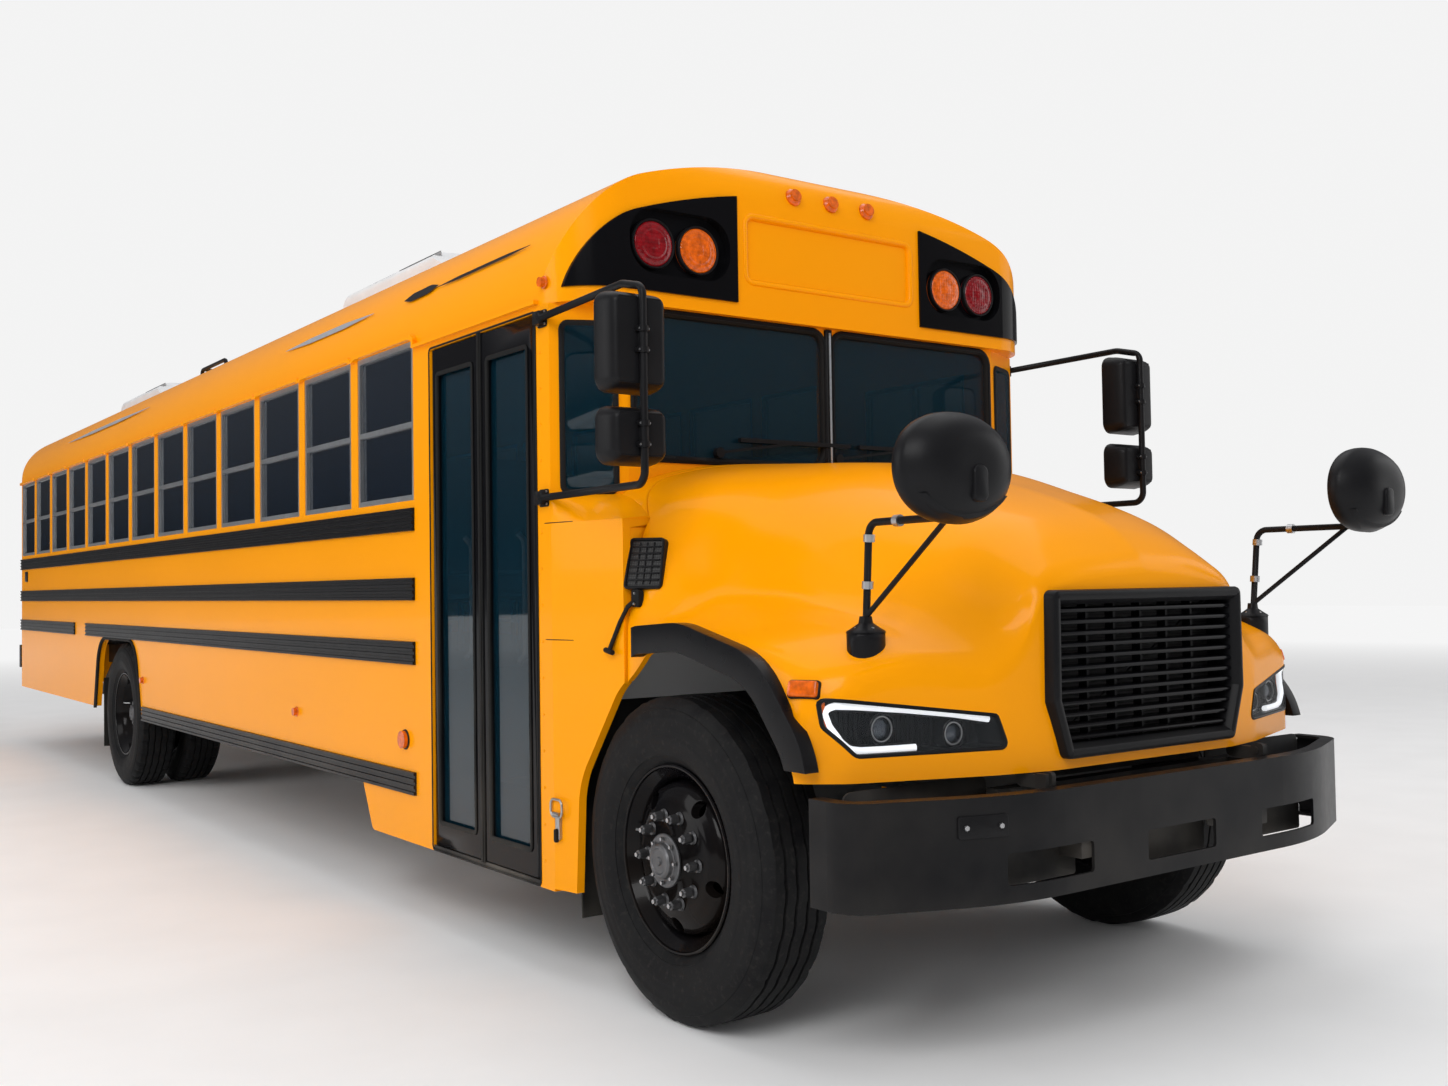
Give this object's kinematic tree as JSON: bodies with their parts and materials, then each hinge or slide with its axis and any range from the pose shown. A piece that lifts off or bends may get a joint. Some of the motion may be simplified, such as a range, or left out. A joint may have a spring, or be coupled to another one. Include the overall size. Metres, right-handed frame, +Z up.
{
  "type": "school bus",
  "caption": "Conventional-nose school bus with hollow cabin, opening doors, tilting hood, steered front wheels, twin rear wheels and rooftop air units.",
  "frame": {"origin": "On the ground under the middle of the bus's bounding box.", "axes": "Nose to -Y, rear to +Y, entrance door on the -X side, +Z up; tyres stand on z = 0."},
  "size_m": [2.76, 12.577, 3.3],
  "materials": {
    "yellow_paint": "gloss",
    "black_gloss": "gloss",
    "black_plastic": "satin",
    "white_plastic": "satin",
    "dark_glass": "tinted",
    "clear_lens": "clear",
    "red_lens": "gloss",
    "amber_lens": "gloss",
    "sash_metal": "anodised",
    "tyre_rubber": "matt",
    "flap_rubber": "matt",
    "chassis_steel": "satin",
    "engine_iron": "rough",
    "bright_steel": "dull",
    "seat_cover": "vinyl",
    "floor_grey": "ribbed",
    "sign_red": "satin"
  },
  "bodies": {
    "body": {"amber_lamps": "amber_lens", "body_glass": "dark_glass", "cowl": "yellow_paint", "dashboard": "black_plastic", "driveshaft": "chassis_steel", "engine": "engine_iron", "exhaust": "bright_steel", "floor": "floor_grey", "frame_rails": "chassis_steel", "front_axle": "chassis_steel", "front_bumper": "black_gloss", "front_cap": "yellow_paint", "front_frame": "yellow_paint", "fuel_tank": "chassis_steel", "lamp_pods": "black_gloss", "leaf_springs": "chassis_steel", "mud_flaps": "flap_rubber", "radiator": "bright_steel", "rear_axle": "chassis_steel", "rear_bumper": "black_gloss", "rear_wall": "yellow_paint", "red_lamps": "red_lens", "roof": "yellow_paint", "roof_air_units": "white_plastic", "rub_rails": "black_gloss", "seats": "seat_cover", "side_mirrors": "black_plastic", "side_wall_left": "yellow_paint", "side_wall_right": "yellow_paint", "stepwell": "black_plastic", "window_frames": "sash_metal", "windshield_glass": "dark_glass", "wipers": "black_plastic"},
    "hood": {"hood": "yellow_paint", "grille": "black_plastic", "headlamps": "black_plastic", "headlamp_lenses": "clear_lens", "fender_flares": "black_plastic", "crossover_mirrors": "black_plastic"},
    "knuckle_left": {"knuckle_left": "chassis_steel"},
    "knuckle_right": {"knuckle_right": "chassis_steel"},
    "wheel_front_left": {"wheel_front_left": "black_gloss", "tyre_front_left": "tyre_rubber"},
    "wheel_front_right": {"wheel_front_right": "black_gloss", "tyre_front_right": "tyre_rubber"},
    "wheels_rear_left": {"wheels_rear_left": "black_gloss", "tyres_rear_left": "tyre_rubber"},
    "wheels_rear_right": {"wheels_rear_right": "black_gloss", "tyres_rear_right": "tyre_rubber"},
    "entry_leaf_front": {"entry_leaf_front": "black_gloss", "entry_glass_front": "dark_glass"},
    "entry_leaf_rear": {"entry_leaf_rear": "black_gloss", "entry_glass_rear": "dark_glass"},
    "rear_door": {"rear_door": "yellow_paint", "rear_door_glass": "dark_glass"},
    "stop_arm": {"stop_arm": "sign_red"}
  },
  "joints": [
    {"name": "hood_tilt", "type": "hinge", "parent": "body", "child": "hood", "pos_m": [0, -6.0615, 0.826], "axis": [1, 0, 0], "range_deg": [0, 65]},
    {"name": "steer_left", "type": "hinge", "parent": "body", "child": "knuckle_left", "pos_m": [0.88, -5.0415, 0.525], "axis": [0, 0, 1], "range_deg": [-45, 45]},
    {"name": "steer_right", "type": "hinge", "parent": "body", "child": "knuckle_right", "pos_m": [-0.88, -5.0415, 0.525], "axis": [0, 0, 1], "range_deg": [-45, 45]},
    {"name": "front_wheel_left_spin", "type": "hinge", "parent": "knuckle_left", "child": "wheel_front_left", "pos_m": [1.04, -5.0415, 0.525], "axis": [1, 0, 0], "continuous": true},
    {"name": "front_wheel_right_spin", "type": "hinge", "parent": "knuckle_right", "child": "wheel_front_right", "pos_m": [-1.04, -5.0415, 0.525], "axis": [1, 0, 0], "continuous": true},
    {"name": "rear_wheels_left_spin", "type": "hinge", "parent": "body", "child": "wheels_rear_left", "pos_m": [0.895, 2.1985, 0.525], "axis": [1, 0, 0], "continuous": true},
    {"name": "rear_wheels_right_spin", "type": "hinge", "parent": "body", "child": "wheels_rear_right", "pos_m": [-0.895, 2.1985, 0.525], "axis": [1, 0, 0], "continuous": true},
    {"name": "entry_front_leaf_swing", "type": "hinge", "parent": "body", "child": "entry_leaf_front", "pos_m": [-1.197, -4.2505, 1.38], "axis": [0, 0, 1], "range_deg": [0, 90]},
    {"name": "entry_rear_leaf_swing", "type": "hinge", "parent": "body", "child": "entry_leaf_rear", "pos_m": [-1.197, -3.3785, 1.38], "axis": [0, 0, -1], "range_deg": [0, 90]},
    {"name": "rear_door_swing", "type": "hinge", "parent": "body", "child": "rear_door", "pos_m": [-0.491, 6.2045, 1.75], "axis": [0, 0, 1], "range_deg": [0, 110]},
    {"name": "stop_arm_swing", "type": "hinge", "parent": "body", "child": "stop_arm", "pos_m": [1.249, -2.8415, 1.42], "axis": [0, 0, -1], "range_deg": [0, 90]}
  ],
  "couplings": [
    {"joint": "steer_right", "follows": "steer_left", "ratio": 1},
    {"joint": "entry_rear_leaf_swing", "follows": "entry_front_leaf_swing", "ratio": 1}
  ]
}
